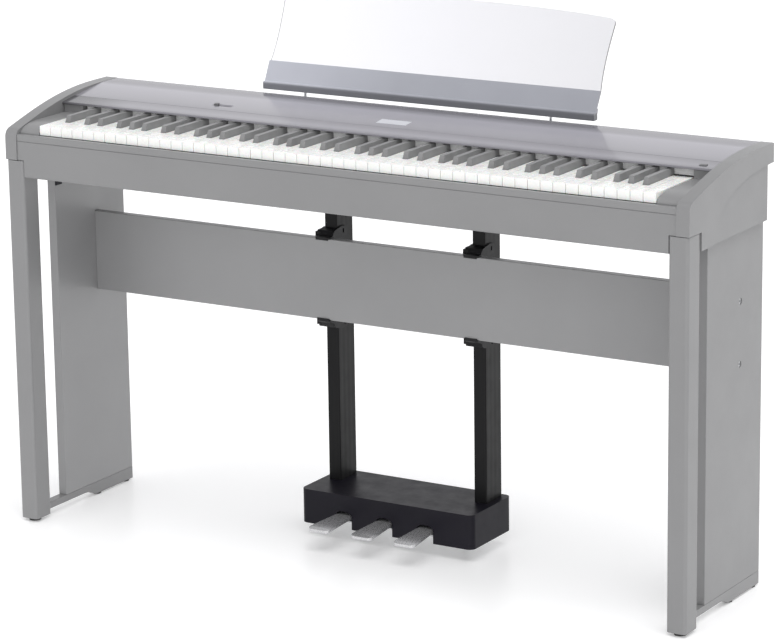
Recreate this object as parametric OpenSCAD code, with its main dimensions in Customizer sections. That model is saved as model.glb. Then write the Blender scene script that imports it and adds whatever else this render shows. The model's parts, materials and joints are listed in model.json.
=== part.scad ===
// Digital piano on a two-leg stand with a hanging three-pedal unit.
// All sizes in millimetres. X runs to the player's right, Y away from the player, Z up.
// The origin is on the floor under the middle of the whole piano.

/* [Case] */
// Centre of the case to the outer face of a cheek
case_half = 677.5; // [650:0.5:700]
// Thickness of a cheek
cheek_t = 24; // [18:0.5:30]
// Height of the underside of the case above the floor
case_z = 644; // [600:1:700]
// Front to back depth of the case below the top cover
case_depth = 300; // [280:1:330]
// Front to back depth at the top cover
top_depth = 316; // [290:1:360]
// Height of the flat part of the top cover at the back
top_z = 773; // [740:0.5:800]
// Thickness of the bottom board
board_t = 16; // [10:0.5:20]
// Wall of the moulded covers
skin_t = 3; // [2:0.5:5]
// How far the lower outside of a cheek is set in
cheek_inset = 3.5; // [1:0.5:6]

/* [Keyboard] */
// Spacing of the white keys
key_pitch = 23.5; // [22:0.05:24]
// Number of white keys
white_count = 52; // [52:1:52]
// Gap between neighbouring keys
key_gap = 1; // [0.6:0.1:1.5]
// Front face of the white keys
key_front_y = 14.4; // [12:0.1:20]
// Top of the white keys
key_top_z = 738.7; // [730:0.1:750]
// Underside of the keys
key_low_z = 722; // [713:0.5:725]
// Front of the black keys
black_front_y = 62; // [58:0.5:70]
// Height of the black keys above the white keys
black_rise = 12; // [10:0.5:13]
// Width of a black key at the level of the white keys
black_w = 10.6; // [9:0.1:12]
// Width of a black key at its top
black_top_w = 8.6; // [7:0.1:10]
// Key pivot position behind the front of the case
pivot_y = 240; // [200:1:260]
// Key pivot height
pivot_z = 727; // [722:0.5:730]
// Radius of the key pivot rod
rod_r = 2; // [1.5:0.1:3]
// Radial clearance of the keys on the rod
rod_clear = 0.06; // [0.02:0.01:0.1]
// Back end of the keys
key_back_y = 262; // [250:1:280]

/* [Panels and controls] */
// Front edge of the control panel
panel_front_y = 141; // [130:1:160]
// Underside of the control panel at its front edge
panel_front_z = 753; // [745:0.5:760]
// Where the control panel meets the top cover
panel_back_y = 180; // [170:1:200]
// Top surface height at that seam
seam_z = 762.3; // [755:0.1:770]
// Where the sloping part of the top cover meets its flat rear part
crease_y = 268; // [240:1:300]
// Width of the display window
display_w = 60; // [30:1:120]
// Front to back size of the display window
display_d = 22; // [10:1:30]
// Travel of the volume slider
slider_travel = 26; // [10:1:40]

/* [Music rest] */
// Centre of the rest to its side edge
rest_half = 337; // [250:1:400]
// Lean of the rest from upright
rest_lean = 26; // [10:1:40]
// Height of the underside of the ledge
rest_z = 777.5; // [774:0.5:800]
// Front of the ledge
rest_y = 322; // [300:1:340]
// Height of the strip above the ledge, along its lean
strip_h = 39; // [20:1:60]
// Height of the clear panel above the strip at its middle
clear_h = 143; // [100:1:220]
// Rise of the curved top edge over the half width
clear_rise = 13; // [0:1:30]
// Thickness of the clear panel
clear_t = 4; // [3:0.5:6]
// Radius of the two support pins
pin_r = 2.5; // [2:0.1:4]
// Centre to support pin
pin_x = 250; // [150:1:300]

/* [Stand] */
// Inner face of the front posts from the centre
post_in = 640; // [620:0.5:650]
// Outer face of the front posts from the centre
post_out = 676; // [660:0.5:677]
// Front to back depth of a front post
post_d = 45; // [30:1:60]
// Corner radius of a front post
post_r = 6; // [2:0.5:12]
// Height of the top of a front post
post_top_z = 674; // [650:0.5:680]
// Inner face of the side panels from the centre
side_in = 645; // [630:0.5:650]
// Outer face of the side panels from the centre
side_out = 662; // [650:0.5:670]
// Front edge of the side panels
side_y = 99; // [60:1:120]
// Back edge of the legs
leg_back_y = 311; // [290:1:330]
// Top of the bottom rails
rail_top_z = 26; // [20:0.5:40]
// Front face of the stretcher board
stretch_y = 218; // [200:1:290]
// Thickness of the stretcher board
stretch_t = 16; // [12:0.5:22]
// Top edge of the stretcher board
stretch_top_z = 541; // [500:1:580]
// Bottom edge of the stretcher board
stretch_low_z = 393; // [350:1:430]

/* [Pedal unit] */
// Width of the pedal box
box_w = 354; // [300:1:400]
// Front of the pedal box
box_y0 = 172; // [150:1:240]
// Back of the pedal box
box_y1 = 313; // [260:1:340]
// Underside of the pedal box
box_z0 = 25; // [5:1:40]
// Top of the pedal box
box_z1 = 88; // [60:1:110]
// Wall of the pedal box
box_wall = 3; // [2:0.5:5]
// Corner radius of the pedal box
box_r = 12; // [4:1:20]
// Spacing of the pedals
pedal_pitch = 84; // [60:1:100]
// Offset of the middle pedal from the centre
pedal_shift = -4; // [-10:1:10]
// Width of a pedal where it leaves the box
pedal_w = 26; // [20:0.5:28]
// Half the width of the foot of a pedal
foot_half = 21; // [16:0.5:24]
// Radius of the corners of that foot
toe_r = 8; // [3:1:20]
// Front tip of the pedals
pedal_tip_y = 91; // [70:1:130]
// Radius of the pedal axle
axle_r = 4; // [3:0.5:6]
// Radial clearance of the pedals on the axle
axle_clear = 0.06; // [0.02:0.01:0.1]
// Pedal axle position behind the front of the case
axle_y = 284; // [250:1:300]
// Pedal axle height
axle_z = 52; // [40:1:70]
// Centre to the middle of a pedal post
ped_post_x = 151; // [120:1:170]
// Width of a pedal post
ped_post_w = 25; // [20:1:30]
// Front of a pedal post
ped_post_y = 247; // [235:1:270]
// Front to back depth of a pedal post
ped_post_d = 55; // [30:1:60]
// Top of a pedal post
ped_post_top = 628; // [560:1:640]

/* [Hidden] */
$fn = 48;
tiny = 0.01;
cut = 1;
hair = 0.3;
centre_y = 207.04;
inner = case_half - cheek_t;
fit_x = inner - 0.2;
floor_z = case_z + board_t;
back_in = case_depth - skin_t;
key_half = white_count * key_pitch / 2;
notch_x = post_in - 0.4;
notch_y = post_d + 0.6;
notch_z = post_top_z + 1;
cap_z = 740;
slope = (top_z - seam_z) / (crease_y - panel_back_y);
tilt = atan(slope);
slip_top = 721.5;
seam_drop = 11.5;
slip_y0 = 2;
slip_y1 = 12;
frame_z1 = floor_z + 6;
ridge_t = 1.4;
block_in = key_half + 1;
octave_first = 23;
octave_last = 29;
head_back = black_front_y - 1.5;
black_body_z = key_top_z - 1.5;
ledge_h = 14;
ledge_d = 13;
strip_t = 3;
clear_low = 9;
holder_z0 = 690;
holder_z1 = 738;
pin_y = rest_y + 6;
pin_clear = 0.06;
foot_r = 11;
foot_h = 6;
stop_z = 39.5;
arch_half = 17;
arch_z = 48;
top_gap = 0.8;
ped_foot_x = 104;
ped_foot_y = 272;
rear_foot_h = 3;
bolt_r = 3;
bolt_head_r = 5;
bolt_z = [411.5, 519.5];
bracket_y = [99, 262];
bracket_w = 18;
knob_r = 10;
clamp_side = 11;
clamp_down = 36;
clamp_deeper = 6;
plate_t = 3;
slider_x = -347;
slider_y = 206;
power_x = 625;
power_w = 13;
power_d = 7;
speaker_x = 480;
speaker_y = 132;
speaker_r = 48;
pedal_x = [pedal_shift - pedal_pitch, pedal_shift, pedal_shift + pedal_pitch];

// A point on a cubic curve.
function bez(a, b, c, d, t) = a * pow(1 - t, 3) + 3 * b * pow(1 - t, 2) * t
    + 3 * c * (1 - t) * pow(t, 2) + d * pow(t, 3);
// Points of a cubic curve, leaving out its first point.
function curve(a, b, c, d, n) = [for (k = [1 : n]) bez(a, b, c, d, k / n)];

// Draws a side profile given as [y, z] points and makes it solid from x0 to x1.
module along_x(x0, x1, pts) {
    translate([x0, 0, 0]) rotate([90, 0, 90]) linear_extrude(height = x1 - x0) polygon(pts);
}

// A box from one corner to the other.
module block(a, b) {
    translate(a) cube(b - a);
}

// A round bar along X.
module bar_x(x0, x1, y, z, r) {
    translate([x0, y, z]) rotate([0, 90, 0]) cylinder(r = r, h = x1 - x0);
}

// A round bar along Y.
module bar_y(y0, y1, x, z, r) {
    translate([x, y0, z]) rotate([-90, 0, 0]) cylinder(r = r, h = y1 - y0);
}

// A flat plate outline with round corners.
module round_rect(x0, y0, x1, y1, r) {
    translate([x0 + r, y0]) square([x1 - x0 - 2 * r, y1 - y0]);
    translate([x0, y0 + r]) square([x1 - x0, y1 - y0 - 2 * r]);
    for (x = [x0 + r, x1 - r], y = [y0 + r, y1 - r]) translate([x, y]) circle(r = r);
}

// Finishes. Each one also moves its piece back so that the origin is under the middle
// of the whole piano; the modules themselves measure Y from the front faces.
module finish(c) { color(c) translate([0, -centre_y, 0]) children(); }
module grey() { finish([0.60, 0.60, 0.61]) children(); }
module gloss() { finish([0.66, 0.66, 0.69]) children(); }
module dark() { finish([0.13, 0.13, 0.14]) children(); }
module steel() { finish([0.72, 0.73, 0.74]) children(); }
module silver() { finish([0.78, 0.79, 0.80]) children(); }
module ivory() { finish([0.95, 0.95, 0.93]) children(); }
module ebony() { finish([0.16, 0.16, 0.17]) children(); }
module board_green() { finish([0.10, 0.32, 0.18]) children(); }
module strip_blue() { finish([0.52, 0.55, 0.60]) children(); }
module clear() { finish([0.80, 0.82, 0.90, 0.5]) children(); }

// ---- Case ----

module post_notch() {
    for (s = [-1, 1])
        block([s > 0 ? notch_x : -case_half - cut, -cut, case_z - cut],
            [s > 0 ? case_half + cut : -notch_x, notch_y, notch_z]);
}

// Board under the keys, slotted under the loudspeakers.
module case_bottom() {
    grey() difference() {
        block([-fit_x, slip_y1 + hair, case_z], [fit_x, back_in - hair, floor_z]);
        post_notch();
        for (s = [-1, 1], k = [-4 : 4])
            block([s * speaker_x - 32, speaker_y + k * 9 - 2, case_z - cut],
                [s * speaker_x + 32, speaker_y + k * 9 + 2, floor_z + cut]);
        for (p = knob_points()) translate([p.x, p.y, case_z - cut])
            cylinder(r = bolt_r, h = 12 + cut);
    }
}

// Rail in front of the keys.
module key_slip() {
    grey() difference() {
        along_x(-fit_x, fit_x, concat([[slip_y1, case_z], [slip_y1, slip_top - 2],
            [slip_y1 - 1, slip_top], [slip_y0 + 4, slip_top]],
            curve([slip_y0 + 4, slip_top], [slip_y0 + 1, slip_top], [slip_y0, slip_top - 1],
                [slip_y0, slip_top - 5], 6), [[slip_y0, slip_top - seam_drop],
                [slip_y0 + 1.2, slip_top - seam_drop], [slip_y0 + 1.2, slip_top - seam_drop - 1],
                [slip_y0, slip_top - seam_drop - 1], [slip_y0, case_z + 2],
                [slip_y0 + 2, case_z]]));
        post_notch();
    }
}

// Outline of a cheek: [y, z] points.
function cheek_outline() = concat([[0, case_z]],
    [[0, 712]],
    curve([0, 712], [0, 726], [6, 729.5], [18, 732.5], 8),
    curve([18, 732.5], [100, 755], [170, top_z + 0.5], [270, top_z + 0.5], 14),
    curve([top_depth - 3, top_z + 0.5], [top_depth - 1, top_z + 0.5], [top_depth, top_z - 0.5],
        [top_depth, top_z - 2.5], 5),
    [[top_depth, cap_z], [case_depth, cap_z], [case_depth, case_z]]);

// The lower, set-in field on the outside of a cheek.
function inset_outline() = concat([[88, case_z - cut]],
    curve([88, case_z - cut], [105, 715], [190, cap_z - 2], [top_depth, cap_z], 14),
    [[top_depth + cut, case_z - cut]]);

module cheek(s) {
    x0 = s > 0 ? inner : -case_half;
    grey() difference() {
        along_x(x0, x0 + cheek_t, cheek_outline());
        post_notch();
        along_x(s > 0 ? case_half - cheek_inset : -case_half - cut,
            s > 0 ? case_half + cut : -case_half + cheek_inset, inset_outline());
    }
}

module cheek_left() { cheek(-1); }
module cheek_right() { cheek(1); }

// Blocks at both ends of the keyboard.
module end_blocks() {
    grey() difference() {
        for (s = [-1, 1]) {
            x0 = s > 0 ? block_in : -fit_x;
            along_x(x0, x0 + fit_x - block_in, concat([[slip_y1 + hair, floor_z + tiny]],
                [[slip_y1 + hair, 722]],
                curve([slip_y1 + hair, 722], [slip_y1 + 2, 731], [34, 737.5], [60, 738], 8),
                [[147, 738], [147, panel_under(147) - hair], [160, panel_under(160) - hair],
                [160, floor_z + tiny]]));
        }
        post_notch();
        translate([power_x, 0, 0]) block([-8, 148, 742], [8, 161, 770]);
    }
}

// Moulded top with a deep back edge.
module top_cover() {
    y0 = panel_back_y + top_gap;
    gloss() difference() {
        along_x(-fit_x, fit_x, concat([[y0, seam_z - skin_t],
            [y0, seam_z + slope * top_gap]],
            [[crease_y, top_z], [top_depth - 3, top_z]],
                curve([top_depth - 3, top_z], [top_depth - 1, top_z], [top_depth, top_z - 1],
                [top_depth, top_z - 3], 5),
            [[top_depth, cap_z], [back_in, cap_z], [back_in, cap_z + skin_t],
            [top_depth - skin_t, cap_z + skin_t], [top_depth - skin_t, top_z - 9],
            [crease_y, top_z - skin_t]]));
        on_top(5, 210) block([-display_w / 2 - 0.1, -display_d / 2 - 0.1, -1.2],
            [display_w / 2 + 0.1, display_d / 2 + 0.1, 5]);
        on_top(slider_x, slider_y) block([-20, -4.5, -1], [20, 4.5, 5]);
        on_top(slider_x, slider_y) block([-17.5, -1.4, -9], [17.5, 1.4, 5]);
    }
}

// Puts a piece on the sloping top surface.
module on_top(x, y) {
    translate([x, y, seam_z + slope * (y - panel_back_y)]) rotate([tilt, 0, 0]) children();
}

// Height of the underside of the control panel.
function panel_under(y) = panel_front_z + (seam_z - skin_t - panel_front_z)
    * (y - panel_front_y - 2) / (panel_back_y - panel_front_y - 2);
// Slope of the control panel.
function panel_tilt() = atan((seam_z - panel_front_z - skin_t - 0.5)
    / (panel_back_y - panel_front_y));

module on_panel(x, y) {
    translate([x, y, panel_front_z + skin_t + 0.5 + (y - panel_front_y) * tan(panel_tilt())])
        rotate([panel_tilt(), 0, 0]) children();
}

// Strip between the keys and the top cover.
module control_panel() {
    gloss() difference() {
        along_x(-fit_x, fit_x, concat([[panel_front_y + 2, panel_front_z]],
            curve([panel_front_y + 2, panel_front_z], [panel_front_y, panel_front_z],
                [panel_front_y, panel_front_z + skin_t], [panel_front_y + 3,
                panel_front_z + skin_t + 1.2], 6),
            [[panel_back_y, seam_z], [panel_back_y, seam_z - skin_t]]));
        on_panel(power_x, 157) block([-power_w / 2 - 0.4, -power_d / 2 - 0.4, -9],
            [power_w / 2 + 0.4, power_d / 2 + 0.4, 5]);
    }
}

module rear_panel() {
    grey() difference() {
        union() {
            block([-fit_x, back_in, case_z], [fit_x, case_depth, cap_z - tiny]);
            for (x = [-480, -260], z = [674, 726])
                bar_y(back_in - 12, back_in, x, z, 4);
        }
        block([-600, back_in - cut, 690], [-540, case_depth + cut, 714]);
        block([520, back_in - cut, 690], [590, case_depth + cut, 714]);
        for (s = [-1, 1], dx = [-12, 12])
            bar_y(back_in - cut, case_depth + cut, s * pin_x + dx, 714, 2);
    }
}

module display_window() {
    dark() on_top(5, 210) block([-display_w / 2 + 0.1, -display_d / 2 + 0.1, -1.2],
        [display_w / 2 - 0.1, display_d / 2 - 0.1, 0.15]);
}

// Sockets reached through the back panel.
module jack_block() {
    dark() difference() {
        union() {
            for (x = [-570, 555]) block([x - 40, back_in - 14, 682], [x + 40, back_in - hair, 722]);
            for (x = [-585, -555]) bar_y(back_in - hair - tiny, case_depth + 1.5, x, 702, 6);
            bar_y(back_in - hair - tiny, case_depth + 1.5, 535, 702, 6);
            bar_y(back_in - hair - tiny, case_depth + 1.5, 575, 702, 6);
        }
        for (x = [-585, -555, 535]) bar_y(back_in - 12, case_depth + 3, x, 702, 3.2);
        difference() {
            bar_y(back_in - 12, case_depth + 3, 575, 702, 3.2);
            bar_y(back_in - 13, case_depth + 0.5, 575, 702, 1.1);
        }
    }
}

// Two loudspeakers firing down through the bottom board.
module speakers() {
    dark() for (s = [-1, 1]) translate([s * speaker_x, speaker_y, floor_z])
        rotate_extrude() polygon([[0, 3], [12, 4], [speaker_r - 8, 0.8], [speaker_r - 6, 0.1],
            [speaker_r, 0.1], [speaker_r, 3], [speaker_r - 8, 3.4], [26, 20], [26, 24],
            [32, 24], [32, 38], [0, 38]]);
}

module main_board() {
    y0 = back_in - 12 - 1.6;
    board_green() union() {
        block([-500, y0, 666], [-240, y0 + 1.6 - tiny, 734]);
        for (k = [0 : 4]) block([-480 + k * 46, y0 - 4, 684], [-452 + k * 46, y0 + tiny, 704]);
        block([-478, y0 - 7, 712], [-420, y0 + tiny, 728]);
    }
}

// ---- Keyboard ----

// Frame that carries the keys: base, front stop rail, pivot ridge and back stop rail.
module key_frame() {
    wall = block_in + 0.6;
    dark() difference() {
        union() {
            block([-key_half, 22, floor_z + tiny], [key_half, 270, frame_z1]);
            block([-key_half, 28, frame_z1 - cut], [key_half, 40, key_low_z - 10.2]);
            along_x(-key_half, key_half, [[pivot_y - 6, frame_z1 - cut],
                [pivot_y - 6, key_low_z - 8], [pivot_y - ridge_t, key_low_z - 3],
                [pivot_y - ridge_t, pivot_z - 1], [pivot_y + ridge_t, pivot_z - 1],
                [pivot_y + ridge_t, key_low_z - 3], [pivot_y + 6, key_low_z - 8],
                [pivot_y + 6, frame_z1 - cut]]);
            block([-key_half, 254, frame_z1 - cut], [key_half, 264, key_low_z - 0.4]);
            for (s = [-1, 1]) {
                block([s > 0 ? wall : -wall - 8, pivot_y - 12, floor_z + tiny],
                    [s > 0 ? wall + 8 : -wall, pivot_y + 12, pivot_z + 8]);
                block([s > 0 ? key_half - cut : -wall - 8, pivot_y - 12, floor_z + tiny],
                    [s > 0 ? wall + 8 : -key_half + cut, pivot_y + 12, frame_z1]);
            }
        }
        bar_x(-key_half - 20, key_half + 20, pivot_y, pivot_z, rod_r);
        for (s = [-1, 1]) translate([s * speaker_x, speaker_y, floor_z - cut])
            cylinder(r = speaker_r + 2, h = 20);
    }
}

module key_rod() {
    steel() bar_x(-block_in - 9, block_in + 9, pivot_y, pivot_z, rod_r);
}

// Place of a white key in its octave: 0 is C, 6 is B.
function letter(i) = (i + 5) % 7;
function has_black(i) = i >= 0 && i < white_count - 1 && letter(i) != 2 && letter(i) != 6;
// Sideways shift of the black key that follows a white key.
function black_shift(i) = [-2.35, 2.35, 0, -3.35, 0, 3.35, 0][letter(i)];
function black_x(i) = -key_half + key_pitch * (i + 1) + black_shift(i);
function white_x(i) = -key_half + key_pitch * (i + 0.5);

// Slot that sits over the pivot rod.
module key_fork(x, w) {
    r = rod_r + rod_clear;
    bar_x(x - w / 2 - cut, x + w / 2 + cut, pivot_y, pivot_z, r);
    block([x - w / 2 - cut, pivot_y - r, key_low_z - cut], [x + w / 2 + cut, pivot_y + r, pivot_z]);
}

module white_key(i) {
    x = white_x(i);
    half = (key_pitch - key_gap) / 2;
    side = black_w / 2 + 0.8;
    left = has_black(i - 1) ? black_x(i - 1) + side : x - half;
    right = has_black(i) ? black_x(i) - side : x + half;
    ivory() difference() {
        union() {
            block([x - half, key_front_y, key_low_z], [x + half, head_back, key_top_z]);
            along_x(left, right, [[head_back - cut, key_low_z], [head_back - cut, key_top_z],
                [150, key_top_z], [158, 736], [key_back_y, 736], [key_back_y, key_low_z]]);
        }
        key_fork((left + right) / 2, right - left);
    }
}

module black_key(i) {
    x = black_x(i);
    top = key_top_z + black_rise;
    ebony() difference() {
        union() {
            block([x - black_w / 2, black_front_y, key_low_z],
                [x + black_w / 2, key_back_y, black_body_z]);
            difference() {
                translate([x, 0, 0]) rotate([90, 0, 0]) translate([0, 0, -158])
                    linear_extrude(height = 158 - black_front_y)
                    polygon([[-black_w / 2, black_body_z], [black_w / 2, black_body_z],
                    [black_top_w / 2, top], [-black_top_w / 2, top]]);
                along_x(x - 10, x + 10, [[black_front_y - cut, black_body_z + 1],
                    [black_front_y, black_body_z + 1], [black_front_y + 5, top + tiny],
                    [black_front_y - cut, top + tiny]]);
            }
        }
        key_fork(x, black_w);
    }
}

module key_c4() { white_key(octave_first); }
module key_d4() { white_key(octave_first + 1); }
module key_e4() { white_key(octave_first + 2); }
module key_f4() { white_key(octave_first + 3); }
module key_g4() { white_key(octave_first + 4); }
module key_a4() { white_key(octave_first + 5); }
module key_b4() { white_key(octave_last); }
module key_c4_sharp() { black_key(octave_first); }
module key_d4_sharp() { black_key(octave_first + 1); }
module key_f4_sharp() { black_key(octave_first + 3); }
module key_g4_sharp() { black_key(octave_first + 4); }
module key_a4_sharp() { black_key(octave_first + 5); }
module white_keys_bass() { for (i = [0 : octave_first - 1]) white_key(i); }
module white_keys_treble() { for (i = [octave_last + 1 : white_count - 1]) white_key(i); }
module black_keys_bass() {
    for (i = [0 : octave_first - 1]) if (has_black(i)) black_key(i);
}
module black_keys_treble() {
    for (i = [octave_last + 1 : white_count - 1]) if (has_black(i)) black_key(i);
}

// ---- Controls ----

module volume_knob() {
    dark() on_top(slider_x - slider_travel / 2, slider_y) union() {
        block([-4, -3.4, -0.7], [4, 3.4, 3]);
        block([-3, -1.1, -6.5], [3, 1.1, 0]);
        block([-4, -3, -6.5], [4, 3, -4.6]);
    }
}

module power_button() {
    dark() on_panel(power_x, 157) block([-power_w / 2, -power_d / 2, -6],
        [power_w / 2, power_d / 2, 1.6]);
}

// ---- Music rest ----

// Holders on the back panel that the two pins stand in.
module rest_holders() {
    dark() for (s = [-1, 1]) difference() {
        union() {
            block([s * pin_x - 20, case_depth + tiny, holder_z0],
                [s * pin_x + 20, case_depth + 4, holder_z1]);
            block([s * pin_x - 8, case_depth + 3, holder_z0],
                [s * pin_x + 8, pin_y, holder_z1]);
            translate([s * pin_x, pin_y, holder_z0]) cylinder(r = 8, h = holder_z1 - holder_z0);
        }
        translate([s * pin_x, pin_y, holder_z0 + 6])
            cylinder(r = pin_r + pin_clear, h = holder_z1 - holder_z0);
        for (dx = [-14, 14])
            bar_y(case_depth - cut, case_depth + 6, s * pin_x + dx, 714, 2);
    }
}

module rest_pins() {
    steel() for (s = [-1, 1]) translate([s * pin_x, pin_y, holder_z0 + 6 + hair])
        cylinder(r = pin_r, h = rest_z + 2 - hair - holder_z0);
}

module rest_rail() {
    y0 = rest_y;
    z1 = rest_z + ledge_h;
    seat = clear_low - hair;
    function leaning(along, back) = [y0 + 6 + along * sin(rest_lean) + back * cos(rest_lean),
        z1 + along * cos(rest_lean) - back * sin(rest_lean)];
    strip_blue() difference() {
        along_x(-rest_half, rest_half, [[y0, rest_z], [y0, z1 - 2], [y0 + 2, z1],
            [y0 + 6, z1], leaning(strip_h, 0), leaning(strip_h, strip_t),
            leaning(seat, strip_t), leaning(seat, strip_t + clear_t),
            [y0 + ledge_d, z1 - 4], [y0 + ledge_d, rest_z]]);
        for (s = [-1, 1]) translate([s * pin_x, pin_y, rest_z - cut])
            cylinder(r = pin_r, h = 8 + cut);
    }
}

// Outline of the clear panel: half width against height along the lean.
function clear_side() = concat([[rest_half - 2, -strip_h + clear_low], [rest_half - 1, 0]],
    curve([rest_half - 1, 0], [rest_half - 6, 35], [rest_half - 4, 80],
        [rest_half - 1, clear_h - clear_rise - 12], 10),
    curve([rest_half - 1, clear_h - clear_rise - 12], [rest_half + 1, clear_h - clear_rise - 4],
        [rest_half - 4, clear_h - clear_rise - 0.5], [rest_half - 12, clear_h - clear_rise + 1], 6),
    curve([rest_half - 12, clear_h - clear_rise + 1], [230, clear_h - clear_rise + 10],
        [110, clear_h], [0, clear_h], 14));

module rest_panel() {
    half = clear_side();
    n = len(half);
    clear()
        translate([0, rest_y + 6 + strip_h * sin(rest_lean), rest_z + ledge_h
            + strip_h * cos(rest_lean)])
        rotate([90 - rest_lean, 0, 0]) translate([0, 0, -strip_t - clear_t - tiny])
        linear_extrude(height = clear_t)
        polygon(concat(half, [for (k = [n - 2 : -1 : 0]) [-half[k].x, half[k].y]]));
}

// ---- Stand ----

module post(s) {
    x0 = s > 0 ? post_in : -post_out;
    grey() translate([0, 0, foot_h]) linear_extrude(height = post_top_z - foot_h)
        round_rect(x0, 0, x0 + post_out - post_in, post_d, post_r);
}

module post_left() { post(-1); }
module post_right() { post(1); }

module side(s) {
    x0 = s > 0 ? side_in : -side_out;
    x1 = x0 + side_out - side_in;
    out = s > 0 ? x1 : x0;
    grey() difference() {
        block([x0, side_y, rail_top_z], [x1, leg_back_y, case_z - 4.1]);
        for (z = bolt_z) {
            bar_x(x0 - cut, x1 + cut, stretch_y + stretch_t / 2, z, bolt_r + 0.3);
            bar_x(out - 5, out + 5, stretch_y + stretch_t / 2, z, bolt_head_r + 0.6);
        }
    }
}

module side_left() { side(-1); }
module side_right() { side(1); }

// Bottom rail with a shallow arch behind the post.
module rail(s) {
    x0 = s > 0 ? side_in : -side_out;
    low = rear_foot_h;
    arch = 13.5;
    grey() along_x(x0, x0 + side_out - side_in, [[post_d + tiny, arch], [post_d + tiny,
        rail_top_z - tiny], [leg_back_y, rail_top_z - tiny], [leg_back_y, low], [192, low],
        [170, arch - 1], [158, arch]]);
}

module rail_left() { rail(-1); }
module rail_right() { rail(1); }

module stand_feet() {
    dark() for (s = [-1, 1]) {
        translate([s * (post_in + post_out) / 2, 18, 0]) cylinder(r = foot_r, h = foot_h - tiny);
        for (y = [206, 296]) translate([s * (side_in + side_out) / 2, y, 0])
            cylinder(r = 8, h = rear_foot_h - tiny);
    }
}

module stretcher() {
    grey() difference() {
        block([-side_in + tiny, stretch_y, stretch_low_z],
            [side_in - tiny, stretch_y + stretch_t, stretch_top_z]);
        for (s = [-1, 1], z = bolt_z)
            bar_x(s > 0 ? side_in - 42 : -side_in - cut, s > 0 ? side_in + cut : -side_in + 42,
                stretch_y + stretch_t / 2, z, bolt_r);
    }
}

module stand_bolts() {
    steel() for (s = [-1, 1], z = bolt_z) {
        y = stretch_y + stretch_t / 2;
        x = side_out - 5;
        difference() {
            union() {
                bar_x(s > 0 ? side_in - 40 : -x, s > 0 ? x : -side_in + 40, y, z, bolt_r);
                bar_x(s > 0 ? x - tiny : -x - 3.6, s > 0 ? x + 3.6 : -x + tiny, y, z, bolt_head_r);
            }
            translate([s * (x + 3.6), y, z]) rotate([0, 90, 0])
                cylinder(r = 2.3, h = 5, center = true, $fn = 6);
        }
    }
}

function knob_points() = [for (s = [-1, 1], y = bracket_y) [s * 622, y + bracket_w / 2]];

// Angle brackets between the side panels and the bottom board.
module stand_brackets() {
    steel() for (s = [-1, 1], y = bracket_y) difference() {
        union() {
            block([s > 0 ? 604 : -side_out, y, case_z - 4], [s > 0 ? side_out : -604,
                y + bracket_w, case_z - tiny]);
            block([s > 0 ? side_in - 3 : -side_in + tiny, y, 611],
                [s > 0 ? side_in - tiny : -side_in + 3, y + bracket_w, case_z - 3.9]);
        }
        translate([s * 622, y + bracket_w / 2, case_z - 6]) cylinder(r = bolt_r + 0.3, h = 8);
    }
}

module thumb_screws() {
    dark() for (p = knob_points()) translate([p.x, p.y, case_z - 18]) {
        cylinder(r = knob_r, h = 14 - tiny);
        cylinder(r = bolt_r, h = 18 + 10);
    }
}

// ---- Pedal unit ----

module pedal_box() {
    h = box_z1 - box_z0;
    dark() difference() {
        translate([0, 0, box_z0]) linear_extrude(height = h)
            round_rect(-box_w / 2, box_y0, box_w / 2, box_y1, box_r);
        translate([0, 0, box_z0 - cut]) linear_extrude(height = h + cut - box_wall)
            round_rect(-box_w / 2 + box_wall, box_y0 + box_wall, box_w / 2 - box_wall,
                box_y1 - box_wall, box_r - box_wall);
        for (x = pedal_x) {
            block([x - arch_half, box_y0 - cut, box_z0 - cut],
                [x + arch_half, box_y0 + 10, arch_z]);
            translate([x, box_y0 - cut, arch_z]) rotate([-90, 0, 0]) scale([1, 0.55, 1])
                cylinder(r = arch_half, h = 11);
        }
    }
}

// Steel base plate with bearing ears for the axle.
module pedal_base() {
    half = box_w / 2 - box_wall - 3;
    z = box_z0 + 0.5;
    steel() difference() {
        union() {
            block([-half, 206, z], [half, box_y1 - box_wall - 3, z + 3]);
            for (x = [-138, pedal_shift - pedal_pitch / 2, pedal_shift + pedal_pitch / 2, 132])
                block([x - 3, axle_y - 12, z + 2], [x + 3, axle_y + 12, axle_z + 9]);
        }
        bar_x(-150, 150, axle_y, axle_z, axle_r);
        for (s = [-1, 1]) translate([s * ped_foot_x, ped_foot_y, z - cut]) cylinder(r = 4, h = 6);
    }
}

module pedal_axle() {
    steel() bar_x(-143, 137, axle_y, axle_z, axle_r);
}

// A pedal: lever inside the box, foot plate in front of it. The foot may lean sideways.
module pedal(x, flare) {
    w = pedal_w / 2;
    silver() translate([x, 0, 0]) difference() {
        union() {
            intersection() {
                translate([0, 0, box_z0]) linear_extrude(height = box_z1 - box_z0) union() {
                    hull() {
                        for (s = [-1, 1])
                            translate([flare + s * (foot_half - toe_r), pedal_tip_y + toe_r])
                                circle(r = toe_r);
                        translate([-w, 186]) square([pedal_w, 1]);
                    }
                    translate([-w, 186]) square([pedal_w, 8]);
                }
                along_x(-40, 40, [[pedal_tip_y - cut, 40.5], [pedal_tip_y - cut, 45],
                    [pedal_tip_y + 8, 47], [140, 49], [196, 51.2], [196, 43], [140, 42.5],
                    [pedal_tip_y + 8, 41]]);
            }
            along_x(-11.5, 11.5, [[193, 43.1], [193, 50.7], [axle_y, axle_z + 4],
                [axle_y, axle_z - 6]]);
            bar_x(-11.5, 11.5, axle_y, axle_z, 8);
        }
        bar_x(-15, 15, axle_y, axle_z, axle_r + axle_clear);
    }
}

module pedal_left() { pedal(pedal_x[0], -4); }
module pedal_middle() { pedal(pedal_x[1], 0); }
module pedal_right() { pedal(pedal_x[2], 3); }

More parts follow.
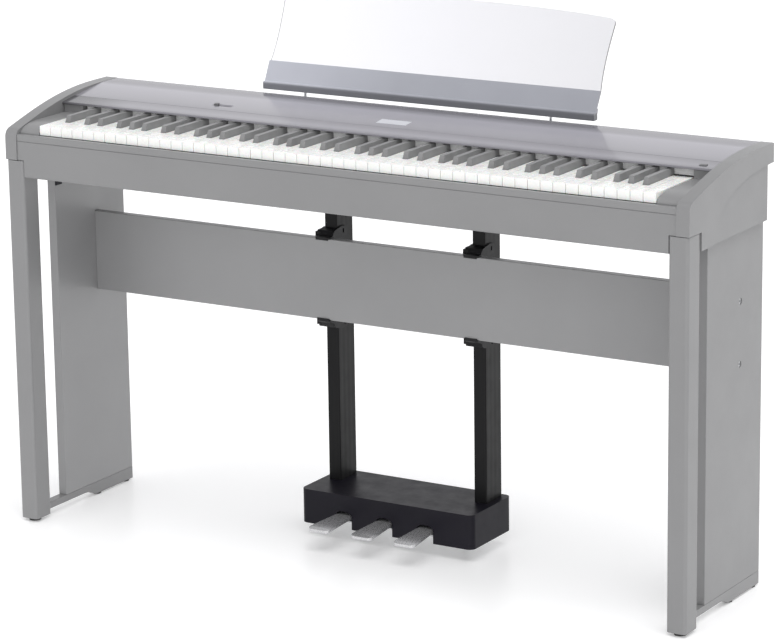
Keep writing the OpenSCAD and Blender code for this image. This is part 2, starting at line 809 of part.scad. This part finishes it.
// Rubber stops that end the travel of the levers.
module pedal_stops() {
    z = box_z0 + 3.51;
    h = stop_z - z;
    dark() for (x = pedal_x) translate([x, 236, z])
        rotate_extrude() polygon([[3, 0], [10, 0], [10, 2], [9, 4], [9, h - 1.4], [8, h],
            [3, h]]);
}

module pedal_feet() {
    dark() for (s = [-1, 1]) translate([s * ped_foot_x, ped_foot_y, 0]) {
        cylinder(r1 = 13, r2 = 11, h = 6);
        cylinder(r = 4, h = 34);
    }
}

module pedal_post(s) {
    x0 = s * ped_post_x - ped_post_w / 2;
    dark() difference() {
        translate([0, 0, box_z1 + tiny]) linear_extrude(height = ped_post_top - box_z1)
            round_rect(x0, ped_post_y, x0 + ped_post_w, ped_post_y + ped_post_d, 2);
        block([x0 + 2.5, ped_post_y + 2.5, box_z1 - cut],
            [x0 + ped_post_w - 2.5, ped_post_y + ped_post_d - 2.5, ped_post_top - 3]);
    }
}

module pedal_post_left() { pedal_post(-1); }
module pedal_post_right() { pedal_post(1); }

// Clamps that hold the posts against the stretcher, two at its top and two at its bottom edge.
// In here Z is measured outwards from that edge of the stretcher.
module clamp(x, up) {
    back = stretch_y + stretch_t;
    edge = up ? stretch_top_z : stretch_low_z;
    w = ped_post_w / 2;
    out = w + clamp_side;
    d = up ? 0 : clamp_deeper;
    mirror([0, 0, up ? 0 : 1]) translate([x, 0, (up ? 1 : -1) * edge]) difference() {
        union() {
            along_x(-out, w + plate_t, [[stretch_y - 2, tiny], [stretch_y - 2, 2.5],
                [back - 4, 3 + d], [back + 1, 11.5 + d], [ped_post_y - tiny, 14.5 + d],
                [ped_post_y - tiny, -clamp_down], [back + tiny, -clamp_down],
                [back + tiny, tiny]]);
            along_x(-out, -w - tiny, [[ped_post_y - cut, -clamp_down],
                [ped_post_y - cut, 14.5 + d], [ped_post_y + 11, 14.5 + d],
                [ped_post_y + 17, 8 + d], [ped_post_y + 17, -clamp_down]]);
            along_x(w + tiny, w + plate_t, [[back + 1, -clamp_down], [back - 6, 2.5],
                [back - 3, 8 + d], [ped_post_y - 4, 13 + d], [ped_post_y + 12, 16.5 + d],
                [ped_post_y + 26, 15 + d], [ped_post_y + 31, 9 + d],
                [ped_post_y + 31, -clamp_down]]);
            block([-w, stretch_y - 2.2, -2.5], [w + plate_t, stretch_y - tiny, 2.5]);
        }
        block([-out - cut, stretch_y - 4, -cut], [-w, back - 1, 20 + d]);
        block([-out - cut, back - 6, 8 + d], [-out + 4, ped_post_y + 20, 20 + d]);
        block([-out - cut, back - 6, 11.5 + d], [-out + 8, ped_post_y + 20, 20 + d]);
        block([w - tiny, ped_post_y + 16, 3 + d], [w + plate_t + cut, ped_post_y + 20, 11 + d]);
        block([w - tiny, back - 40, -60], [w + plate_t + cut, back + tiny, tiny]);
        bar_x(w, w + plate_t + cut, ped_post_y + 8, -14, 2);
    }
}

module clamps() {
    dark() for (s = [-1, 1], up = [true, false]) clamp(s * ped_post_x, up);
}

module clamp_screws() {
    x = ped_post_w / 2 + plate_t;
    steel() for (s = [-1, 1], z = [stretch_top_z - 14, stretch_low_z + 14])
        translate([s * ped_post_x, 0, 0]) {
            bar_x(x - plate_t + tiny, x + tiny, ped_post_y + 8, z, 2);
            bar_x(x, x + 2.4, ped_post_y + 8, z, 4);
        }
}

case_bottom();
key_slip();
cheek_left();
cheek_right();
end_blocks();
top_cover();
control_panel();
rear_panel();
display_window();
jack_block();
speakers();
main_board();
key_frame();
key_rod();
volume_knob();
power_button();
rest_holders();
rest_pins();
rest_rail();
rest_panel();
post_left();
post_right();
side_left();
side_right();
rail_left();
rail_right();
stand_feet();
stretcher();
stand_bolts();
stand_brackets();
thumb_screws();
pedal_box();
pedal_base();
pedal_axle();
pedal_left();
pedal_middle();
pedal_right();
pedal_stops();
pedal_feet();
pedal_post_left();
pedal_post_right();
clamps();
clamp_screws();
key_c4();
key_d4();
key_e4();
key_f4();
key_g4();
key_a4();
key_b4();
key_c4_sharp();
key_d4_sharp();
key_f4_sharp();
key_g4_sharp();
key_a4_sharp();
white_keys_bass();
white_keys_treble();
black_keys_bass();
black_keys_treble();
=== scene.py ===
import json
import math

import bmesh
import bpy
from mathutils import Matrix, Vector

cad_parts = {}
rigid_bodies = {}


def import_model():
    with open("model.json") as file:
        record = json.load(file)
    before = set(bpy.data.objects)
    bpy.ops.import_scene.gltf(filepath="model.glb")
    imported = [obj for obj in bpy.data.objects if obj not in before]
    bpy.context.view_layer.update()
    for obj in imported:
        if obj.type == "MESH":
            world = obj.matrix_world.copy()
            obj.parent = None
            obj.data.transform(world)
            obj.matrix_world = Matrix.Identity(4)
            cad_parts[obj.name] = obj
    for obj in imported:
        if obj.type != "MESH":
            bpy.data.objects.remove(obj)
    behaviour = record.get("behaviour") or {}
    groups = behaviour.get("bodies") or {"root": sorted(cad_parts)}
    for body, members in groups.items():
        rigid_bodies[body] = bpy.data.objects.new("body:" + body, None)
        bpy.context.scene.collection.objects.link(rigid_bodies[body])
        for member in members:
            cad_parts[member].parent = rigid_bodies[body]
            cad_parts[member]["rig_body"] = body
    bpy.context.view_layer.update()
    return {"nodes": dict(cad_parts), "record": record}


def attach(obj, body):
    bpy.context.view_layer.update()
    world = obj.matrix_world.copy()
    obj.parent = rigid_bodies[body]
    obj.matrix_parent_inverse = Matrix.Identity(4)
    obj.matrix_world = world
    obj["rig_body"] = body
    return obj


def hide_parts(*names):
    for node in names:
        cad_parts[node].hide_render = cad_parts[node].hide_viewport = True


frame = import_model()

MM = 0.001
CENTRE_Y = 207.04  # how far the row frame's origin lies behind the front faces, in mm


def mm(x, y, z):
    """A point given in mm with Y measured from the front faces, as a vector in the row frame."""
    return Vector((x * MM, (y - CENTRE_Y) * MM, z * MM))


# ---------------------------------------------------------------- camera

CAMERA_AZIMUTH, CAMERA_ELEVATION, CAMERA_ROLL = 31.17, 14.33, -0.80  # degrees
CAMERA_PLACE = (3.08708, -5.12078, 1.93663)  # metres
SENSOR, LENS = 36.0, 163.03  # mm


def make_camera():
    azimuth, elevation = math.radians(CAMERA_AZIMUTH), math.radians(CAMERA_ELEVATION)
    roll = math.radians(CAMERA_ROLL)
    back = Vector((math.sin(azimuth) * math.cos(elevation),
                   -math.cos(azimuth) * math.cos(elevation), math.sin(elevation)))
    right = Vector((math.cos(azimuth), math.sin(azimuth), 0))
    up = back.cross(right)
    right, up = (math.cos(roll) * right + math.sin(roll) * up,
                 math.cos(roll) * up - math.sin(roll) * right)
    data = bpy.data.cameras.new("camera")
    data.sensor_width = SENSOR
    data.lens = LENS
    data.clip_end = 200.0
    cam = bpy.data.objects.new("camera", data)
    bpy.context.scene.collection.objects.link(cam)
    place = cam.matrix_world.copy()
    for row in range(3):
        place[row][0], place[row][1], place[row][2] = right[row], up[row], back[row]
        place[row][3] = CAMERA_PLACE[row]
    cam.matrix_world = place
    bpy.context.scene.camera = cam


make_camera()
bpy.context.scene.view_settings.view_transform = "Standard"


# ---------------------------------------------------------------- materials

NOISE_SPAN = (0.3, 0.7)  # the part of a noise's range that most of its values fall in


def set_stops(elements, stops, blue=1.0):
    """Gives a colour ramp grey stops of (position, level), with the blue raised by a factor."""
    while len(elements) < len(stops):
        elements.new(0.5)
    for element, (position, level) in zip(elements, stops):
        element.position = position
        element.color = (level, level, level * blue, 1)


class Nodes:
    """Builds one procedural material."""

    def __init__(self, name):
        self.mat = bpy.data.materials.new(name)
        self.mat.use_nodes = True
        self.tree = self.mat.node_tree
        self.shader = self.tree.nodes["Principled BSDF"]
        self.coord = self.tree.nodes.new("ShaderNodeTexCoord").outputs["Object"]

    def add(self, kind, links=None, **values):
        node = self.tree.nodes.new(kind)
        for key, value in values.items():
            setattr(node, key, value)
        for socket, value in (links or {}).items():
            if isinstance(value, bpy.types.NodeSocket):
                self.tree.links.new(value, node.inputs[socket])
            else:
                node.inputs[socket].default_value = value
        return node

    def stretch(self, scale):
        return self.add("ShaderNodeMapping", {"Vector": self.coord, "Scale": scale}).outputs[0]

    def noise(self, scale, detail=3.0, rough=0.55, vector=None):
        return self.add("ShaderNodeTexNoise", {"Vector": vector or self.coord, "Scale": scale,
                                               "Detail": detail, "Roughness": rough}).outputs["Fac"]

    def spread(self, value, low, high, start=NOISE_SPAN[0], end=NOISE_SPAN[1]):
        return self.add("ShaderNodeMapRange", {"Value": value, "From Min": start,
                                               "From Max": end, "To Min": low,
                                               "To Max": high}).outputs["Result"]

    def tint(self, value, first, second):
        ramp = self.add("ShaderNodeValToRGB", {"Fac": value})
        for element, at, colour in zip(ramp.color_ramp.elements, NOISE_SPAN, (first, second)):
            element.position = at
            element.color = (*colour, 1)
        return ramp.outputs["Color"]

    def along(self, axis, low, high, stops):
        """A value that follows stops of (position in mm, value) along one axis."""
        split = self.add("ShaderNodeSeparateXYZ", {"Vector": self.coord})
        place = self.spread(split.outputs[axis], 0.0, 1.0, low * MM, high * MM)
        ramp = self.add("ShaderNodeValToRGB", {"Fac": place})
        set_stops(ramp.color_ramp.elements,
                  [((at - low) / (high - low), value) for at, value in stops])
        return ramp.outputs["Color"]

    def times(self, colour, factor):
        mix = self.add("ShaderNodeMix", data_type="RGBA", blend_type="MULTIPLY")
        mix.inputs["Factor"].default_value = 1.0
        self.tree.links.new(colour, mix.inputs["A"])
        self.tree.links.new(factor, mix.inputs["B"])
        return mix.outputs["Result"]

    def bump(self, height, distance, strength=1.0, over=None):
        links = {"Height": height, "Distance": distance, "Strength": strength}
        if over is not None:
            links["Normal"] = over
        return self.add("ShaderNodeBump", links).outputs["Normal"]

    def set(self, **values):
        for key, value in values.items():
            socket = self.shader.inputs[key.replace("_", " ")]
            if isinstance(value, bpy.types.NodeSocket):
                self.tree.links.new(value, socket)
            else:
                socket.default_value = value
        return self.mat


def shade(colour, factor):
    return tuple(c * factor for c in colour)


def plain(name, colour, vary=0.06, rough=(0.35, 0.45), cloud=6.0, grain=900.0, grain_depth=2e-5,
          **settings):
    """A finish with slow colour clouds, uneven gloss and a fine grain."""
    n = Nodes(name)
    clouds = n.noise(cloud, 4.0, 0.6)
    fine = n.noise(grain, 2.0, 0.5)
    return n.set(Base_Color=n.tint(clouds, shade(colour, 1 - vary), shade(colour, 1 + vary)),
                 Roughness=n.spread(n.noise(cloud * 4, 5.0, 0.65), *rough),
                 Normal=n.bump(fine, grain_depth), **settings)


def board_grey(name, level=1.0):
    """Satin lacquer over board: slow clouds, a soft orange peel and fine dust in the lacquer. A
    level above 1 lightens the whole finish, as painted light.
    """
    n = Nodes(name)
    clouds = n.noise(3.0, 4.0, 0.6)
    peel = n.noise(420.0, 2.0, 0.4)
    dust = n.noise(2600.0, 1.0, 0.5)
    normal = n.bump(dust, 6e-6, over=n.bump(peel, 1.4e-5))
    return n.set(Base_Color=n.tint(clouds, shade((0.207, 0.207, 0.209), level),
                                   shade((0.225, 0.225, 0.227), level)),
                 Roughness=n.spread(n.noise(14.0, 5.0, 0.65), 0.30, 0.42),
                 Normal=normal, Coat_Weight=0.12, Coat_Roughness=0.25)


COVER_FRONT, COVER_BACK = 100, 320  # mm from the front faces, with room before and behind
COVER_HALF = 660  # mm, half the width that the painted reflections at the cover's ends are given over
COVER_REFLECTION_BANDS = [(140, 0.70), (156, 0.95), (176, 0.74), (200, 0.92), (258, 1.18), (270, 0.82),
               (284, 0.72)]  # (mm from the front faces, how light the painted reflection is there)


def gloss_top(name, across):
    """Glossy moulded cover with fine wipe marks across it, painted reflection bands along it and
    painted reflections darkening its ends.
    """
    n = Nodes(name)
    clouds = n.noise(2.5, 3.0, 0.5)
    wipes = n.noise(9.0, 5.0, 0.7, n.stretch((0.35, 3.0, 3.0)))
    ripple = n.noise(18.0, 2.0, 0.4, n.stretch((0.5, 1.6, 1.0)))
    # painted reflection: lighter and darker bands along the cover's depth, as a curved cover would
    # reflect the studio
    painted_reflection_bands = n.along("Y", COVER_FRONT - CENTRE_Y, COVER_BACK - CENTRE_Y,
                    [(y - CENTRE_Y, level) for y, level in COVER_REFLECTION_BANDS])
    # painted reflection: the ends darkened as if mirroring the cheeks
    painted_end_reflections = n.along("X", -COVER_HALF, COVER_HALF, across)
    colour = n.times(n.tint(clouds, (0.262, 0.256, 0.284), (0.290, 0.284, 0.312)), painted_reflection_bands)
    return n.set(Base_Color=n.times(colour, painted_end_reflections),
                 Roughness=n.spread(wipes, 0.14, 0.24), Normal=n.bump(ripple, 6e-5),
                 Coat_Weight=0.4, Coat_Roughness=0.10)


def white_key():
    """Slightly translucent moulded plastic, with uneven gloss where fingers touch it."""
    n = Nodes("white_key")
    clouds = n.noise(20.0, 3.0, 0.6)
    touch = n.noise(55.0, 4.0, 0.7)
    return n.set(Base_Color=n.tint(clouds, (0.865, 0.868, 0.845), (0.895, 0.898, 0.875)),
                 Roughness=n.spread(touch, 0.20, 0.34),
                 Normal=n.bump(n.noise(700.0, 2.0, 0.5), 8e-6), Subsurface_Weight=0.12,
                 Subsurface_Scale=0.002, Coat_Weight=0.2, Coat_Roughness=0.1)


def brushed(name, colour, along, rough=(0.24, 0.36), metallic=1.0):
    """Metal with fine strokes along one direction."""
    n = Nodes(name)
    strokes = n.noise(900.0, 4.0, 0.75, n.stretch(along))
    clouds = n.noise(12.0, 3.0, 0.6)
    return n.set(Base_Color=n.tint(clouds, shade(colour, 0.93), colour), Metallic=metallic,
                 Roughness=n.spread(strokes, *rough), Normal=n.bump(strokes, 5e-6))


REST_HALF = 340  # mm, half the width that the music rest's painted shading and painted reflection are given over


def clear_panel():
    """Clear acrylic with faint smudges, and painted shading that darkens it towards the high notes.
    """
    n = Nodes("clear_panel")
    smudge = n.noise(7.0, 5.0, 0.65)
    # painted shading: darker towards the high notes
    across = n.along("X", -REST_HALF, REST_HALF,
                     [(-330, 0.91), (-120, 0.86), (200, 0.77), (330, 0.74)])
    return n.set(Base_Color=n.times(n.tint(n.noise(2.0, 2.0, 0.5), (0.965, 0.962, 0.995),
                                           (0.98, 0.977, 1.0)), across),
                 Roughness=n.spread(smudge, 0.02, 0.06), Transmission_Weight=0.97, IOR=1.45)


def circuit_green():
    """Green board with paler tracks in a brick pattern."""
    n = Nodes("circuit_green")
    tracks = n.add("ShaderNodeTexBrick", {"Vector": n.coord, "Scale": 90.0,
                                          "Mortar Size": 0.06, "Color1": (0.02, 0.16, 0.06, 1),
                                          "Color2": (0.015, 0.12, 0.045, 1),
                                          "Mortar": (0.05, 0.26, 0.10, 1)}).outputs["Color"]
    return n.set(Base_Color=tracks, Roughness=n.spread(n.noise(60.0), 0.3, 0.5),
                 Normal=n.bump(n.noise(400.0), 1e-5))


FLUTE_TURN = 420.0  # radians per metre, which makes the flutes 15 mm apart


def unit_post():
    """Black extruded post with faint long flutes down its sides, their hollows darkened as painted
    shade.
    """
    n = Nodes("unit_post")
    split = n.add("ShaderNodeSeparateXYZ", {"Vector": n.coord})
    turn = n.add("ShaderNodeMath", {0: split.outputs["Y"], 1: FLUTE_TURN}, operation="MULTIPLY")
    wave = n.add("ShaderNodeMath", {0: turn.outputs[0]}, operation="SINE")
    height = n.spread(wave.outputs[0], 0.0, 1.0, -1.0, 1.0)
    # painted shade: the colour follows the flutes, darker in their hollows
    return n.set(Base_Color=n.tint(height, (0.0065, 0.0065, 0.0070), (0.0125, 0.0125, 0.0125)),
                 Roughness=n.spread(n.noise(30.0, 5.0, 0.65), 0.34, 0.46),
                 Normal=n.bump(n.noise(700.0, 2.0, 0.5), 1.6e-5, over=n.bump(height, 6e-5)),
                 Specular_IOR_Level=0.16)


STRIP_LOW, STRIP_HIGH = 770, 830  # mm above the floor, a little more than the strip's height


def rest_strip():
    """Moulded strip with a painted reflection that makes it paler towards the low notes, and darker
    towards the bottom over the ledge.
    """
    n = Nodes("rest_strip")
    clouds = n.noise(5.0, 4.0, 0.6)
    # painted reflection: paler towards the low notes
    across = n.along("X", -REST_HALF, REST_HALF, [(-330, 1.42), (-60, 1.0), (330, 0.94)])
    upward = n.along("Z", STRIP_LOW, STRIP_HIGH, [(786, 0.42), (789.5, 0.62), (791.5, 1.0)])
    return n.set(Base_Color=n.times(n.times(n.tint(clouds, (0.315, 0.322, 0.357),
                                                   (0.342, 0.350, 0.386)), across), upward),
                 Roughness=n.spread(n.noise(20.0, 5.0, 0.65), 0.30, 0.42),
                 Normal=n.bump(n.noise(1200.0, 2.0, 0.5), 1.2e-5))


BOARD = board_grey("board_grey")
# a lighter copy of the board finish: painted light that lifts the stretcher and left side out of
# the shade under the case
BOARD_LIGHTENED_AGAINST_SHADE = board_grey("board_painted_lighter", 1.25)
GLOSS = gloss_top("gloss_top", [(-650, 1.0), (650, 0.97)])
# the control panel's copy of the cover finish, with painted reflections of the cheeks darkening
# both its ends, most at the left
GLOSS_PANEL = gloss_top("gloss_panel", [(-650, 0.30), (-590, 0.55), (-520, 1.0), (500, 1.0),
                                        (650, 0.85)])
KEY_WHITE = white_key()
KEY_BLACK = plain("key_black", (0.22, 0.22, 0.222), 0.12, (0.30, 0.44), 30.0, 1500.0, 8e-6)
UNIT_BLACK = plain("unit_black", (0.0080, 0.0072, 0.0118), 0.15, (0.34, 0.46), 8.0, 700.0,
                   1.6e-5, Specular_IOR_Level=0.16)
POST_BLACK = unit_post()
CLAMP_BLACK = plain("clamp_black", (0.006, 0.006, 0.007), 0.2, (0.40, 0.52), 20.0, 1400.0, 2e-5,
                    Specular_IOR_Level=0.25)
KEYBED = plain("keybed", (0.16, 0.16, 0.165), 0.12, (0.6, 0.75), 20.0, 900.0, 6e-5)
KNOB_GREY = plain("knob_grey", (0.15, 0.15, 0.155), 0.12, (0.4, 0.5), 60.0, 1800.0, 1e-5)
MOULD_BLACK = plain("mould_black", (0.018, 0.018, 0.019), 0.15, (0.42, 0.58), 20.0, 1400.0, 3e-5)
RUBBER = plain("rubber", (0.022, 0.022, 0.022), 0.2, (0.65, 0.8), 30.0, 1200.0, 4e-5)
CONE = plain("cone", (0.03, 0.03, 0.031), 0.2, (0.6, 0.8), 40.0, 1800.0, 6e-5)
STEEL = brushed("steel", (0.58, 0.59, 0.60), (0.1, 3.0, 3.0))
SILVER = brushed("silver", (0.60, 0.60, 0.61), (3.0, 0.12, 1.0), (0.22, 0.32), 0.7)
STRIP = rest_strip()
WINDOW = plain("window", (0.52, 0.53, 0.57), 0.04, (0.08, 0.14), 30.0, 1500.0, 2e-6,
               Coat_Weight=1.0, Coat_Roughness=0.03)
CLEAR = clear_panel()
CIRCUIT = circuit_green()
# felt as pianos have behind the keys, made nearly white so that it lifts the shade in the gap
# there: painted fill light
FELT_FILL_LIGHT = plain("felt", (0.78, 0.78, 0.78), 0.08, (0.85, 0.95), 60.0, 1600.0, 2e-4,
             Sheen_Weight=0.5)


# ---------------------------------------------------------------- softened CAD shapes

def link(name, mesh, material, body):
    """A new piece of one material, which moves with a body."""
    obj = bpy.data.objects.new(name, mesh)
    bpy.context.scene.collection.objects.link(obj)
    obj.data.materials.append(material)
    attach(obj, body)
    return obj


NOTCHED = ("key_slip", "case_bottom", "cheek_left", "cheek_right", "end_blocks")
NOTCH_X, NOTCH_Y, NOTCH_Z = 617, 47, 676  # mm, a little past the notch's inner side, back and top

WELD = 2e-6  # metres; points closer than this are joined
FLAT_ANGLE = 0.4  # degrees; faces that meet at less than this are joined
ROUNDED_ANGLE = 28  # degrees; edges sharper than this are rounded
CREASE_ANGLE = 40  # degrees; edges sharper than this stay creased in the shading


def beside_post(edge):
    """Whether an edge lies in the notch that the stand's posts fit."""
    return all(abs(v.co.x) > NOTCH_X * MM and v.co.y < mm(0, NOTCH_Y, 0).y
               and v.co.z < NOTCH_Z * MM for v in edge.verts)


def softened(node, material, width):
    """A copy of a CAD node with simplified faces and edges rounded to a width in mm."""
    source = frame["nodes"][node]
    bm = bmesh.new()
    bm.from_mesh(source.data)
    bmesh.ops.remove_doubles(bm, verts=bm.verts, dist=WELD)
    bmesh.ops.dissolve_limit(bm, angle_limit=math.radians(FLAT_ANGLE), verts=bm.verts,
                             edges=bm.edges)
    bmesh.ops.recalc_face_normals(bm, faces=bm.faces)
    sharp = [e for e in bm.edges if len(e.link_faces) == 2
             and e.calc_face_angle(0) > math.radians(ROUNDED_ANGLE)
             and e.calc_length() > width * MM
             and not (node in NOTCHED and beside_post(e))]
    bmesh.ops.bevel(bm, geom=sharp, offset=width * MM, offset_type="OFFSET", segments=3,
                    profile=0.5, affect="EDGES", clamp_overlap=True, miter_outer="ARC")
    for face in bm.faces:
        face.smooth = True
    for edge in bm.edges:
        edge.smooth = edge.calc_face_angle(0) < math.radians(CREASE_ANGLE)
    mesh = bpy.data.meshes.new(node + "_soft")
    bm.to_mesh(mesh)
    bm.free()
    obj = link(node + "_soft", mesh, material, source["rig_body"])
    even = obj.modifiers.new("normals", "WEIGHTED_NORMAL")
    even.weight = 100
    even.keep_sharp = True
    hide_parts(node)


slot_of = {s["node"]: s["material_slot"] for s in frame["record"]["subparts"]}

# The finish of each material slot, and of the nodes that differ from their slot's.
BY_SLOT = {"grey_board": BOARD, "gloss_cover": GLOSS, "window": WINDOW,
           "black_plastic": MOULD_BLACK, "black_metal": UNIT_BLACK, "speaker_cone": CONE,
           "circuit_board": CIRCUIT, "steel": STEEL, "pedal_metal": SILVER, "rubber": RUBBER,
           "strip": STRIP, "clear_panel": CLEAR, "white_key": KEY_WHITE, "black_key": KEY_BLACK}

BY_NODE = {"pedal_post_left": POST_BLACK, "pedal_post_right": POST_BLACK,
           "clamps": CLAMP_BLACK, "key_frame": KEYBED, "volume_knob": KNOB_GREY,
           "power_button": KNOB_GREY, "control_panel": GLOSS_PANEL,
           "stretcher": BOARD_LIGHTENED_AGAINST_SHADE, "side_left": BOARD_LIGHTENED_AGAINST_SHADE}

# How wide the rounded edges are, in mm, by node and for the keys by slot.
EDGE = {"case_bottom": 1.0, "key_slip": 1.5, "cheek_left": 1.6, "cheek_right": 1.6,
        "end_blocks": 1.2, "top_cover": 1.0, "control_panel": 0.8, "rear_panel": 1.0,
        "display_window": 0.2, "jack_block": 0.5, "key_frame": 0.6, "volume_knob": 0.5,
        "power_button": 0.5, "rest_holders": 1.0, "rest_rail": 0.8, "rest_panel": 0.9,
        "post_left": 0.8, "post_right": 0.8, "side_left": 1.0, "side_right": 1.0,
        "rail_left": 0.8, "rail_right": 0.8, "stand_feet": 0.8, "stretcher": 1.2,
        "stand_bolts": 0.5, "stand_brackets": 0.6, "thumb_screws": 1.2, "pedal_box": 1.6,
        "pedal_base": 0.5, "pedal_left": 1.6, "pedal_middle": 1.6, "pedal_right": 1.6,
        "pedal_feet": 0.8, "pedal_post_left": 0.8, "pedal_post_right": 0.8, "clamps": 1.2,
        "clamp_screws": 0.5}
KEY_EDGE = {"white_key": 0.8, "black_key": 1.0}

for node, width in EDGE.items():
    softened(node, BY_NODE.get(node, BY_SLOT[slot_of[node]]), width)
for node, slot in slot_of.items():
    if slot in KEY_EDGE:
        softened(node, BY_SLOT[slot], KEY_EDGE[slot])
    elif node not in EDGE:
        frame["nodes"][node].data.materials.clear()
        frame["nodes"][node].data.materials.append(BY_SLOT[slot])


# ---------------------------------------------------------------- pale felt behind the keys, lifting the shade there (painted fill light)

FELT_HALF = 610  # mm, half its length
FELT_FRONT, FELT_BACK = 158.2, 162.4  # mm from the front faces
FELT_LOW, FELT_HIGH = 739.4, 754.8  # mm above the floor
FELT_PIECES = 140


def key_felt():
    """A strip of felt with cut corners and slightly wavy faces, pale enough to lift the shade in
    the gap behind the keys as painted fill light.
    """
    outline = [(FELT_FRONT + 0.4, FELT_LOW), (FELT_BACK - 0.6, FELT_LOW),
               (FELT_BACK, FELT_LOW + 1.6), (FELT_BACK, FELT_HIGH),
               (FELT_FRONT + 0.2, FELT_HIGH - 0.6), (FELT_FRONT, FELT_LOW + 1.0)]
    bm = bmesh.new()
    rings = []
    for i in range(FELT_PIECES + 1):
        x = -FELT_HALF + 2 * FELT_HALF * i / FELT_PIECES
        sway = 0.12 * math.sin(i * 1.7) + 0.08 * math.sin(i * 0.61)
        rings.append([bm.verts.new(mm(x, y + sway, z)) for y, z in outline])
    corners = len(outline)
    for first, second in zip(rings, rings[1:]):
        for k in range(corners):
            after = (k + 1) % corners
            bm.faces.new((first[k], first[after], second[after], second[k]))
    bm.faces.new(rings[0])
    bm.faces.new(rings[-1][::-1])
    bmesh.ops.recalc_face_normals(bm, faces=bm.faces)
    mesh = bpy.data.meshes.new("key_felt")
    bm.to_mesh(mesh)
    bm.free()
    link("key_felt", mesh, FELT_FILL_LIGHT, "frame")


key_felt()


# ---------------------------------------------------------------- studio

def make_floor():
    bpy.ops.mesh.primitive_plane_add(size=120, location=(0, 20, 0))
    floor = bpy.context.object
    floor.name = "floor"
    n = Nodes("floor")
    floor.data.materials.append(n.set(
        Base_Color=n.tint(n.noise(0.6), (0.84, 0.84, 0.84), (0.86, 0.86, 0.86)),
        Roughness=n.spread(n.noise(3.0), 0.30, 0.36), Normal=n.bump(n.noise(30.0), 1e-5),
        Emission_Color=(1, 1, 1, 1), Emission_Strength=0.22))


def soft_sun(name, strength, azimuth, elevation, angle):
    """A very wide sun. Azimuth is where the light comes from, measured as the camera's is."""
    data = bpy.data.lights.new(name, "SUN")
    data.energy = strength
    data.angle = math.radians(angle)
    sun = bpy.data.objects.new(name, data)
    a, e = math.radians(azimuth), math.radians(elevation)
    back = Vector((math.sin(a) * math.cos(e), -math.cos(a) * math.cos(e), math.sin(e)))
    sun.rotation_mode = "QUATERNION"
    sun.rotation_quaternion = (-back).to_track_quat("-Z", "Y")
    bpy.context.scene.collection.objects.link(sun)


WORLD_STOPS = [(0.0, 1.0), (0.20, 0.86), (0.34, 0.98), (0.46, 1.0), (0.60, 0.48), (1.0, 0.40)]


def make_world():
    """A white studio, dimmer overhead and a little dimmer just above the horizon."""
    world = bpy.data.worlds.new("studio")
    bpy.context.scene.world = world
    world.use_nodes = True
    tree = world.node_tree
    direction = tree.nodes.new("ShaderNodeTexCoord").outputs["Generated"]
    split = tree.nodes.new("ShaderNodeSeparateXYZ")
    tree.links.new(direction, split.inputs[0])
    ramp = tree.nodes.new("ShaderNodeValToRGB")
    tree.links.new(split.outputs["Z"], ramp.inputs["Fac"])
    set_stops(ramp.color_ramp.elements, WORLD_STOPS, blue=1.02)
    tree.links.new(ramp.outputs["Color"], tree.nodes["Background"].inputs["Color"])
    tree.nodes["Background"].inputs["Strength"].default_value = 0.95


make_floor()
make_world()
soft_sun("key_light", strength=2.2, azimuth=50, elevation=72, angle=60)
soft_sun("fill_light", strength=0.55, azimuth=28, elevation=9, angle=50)
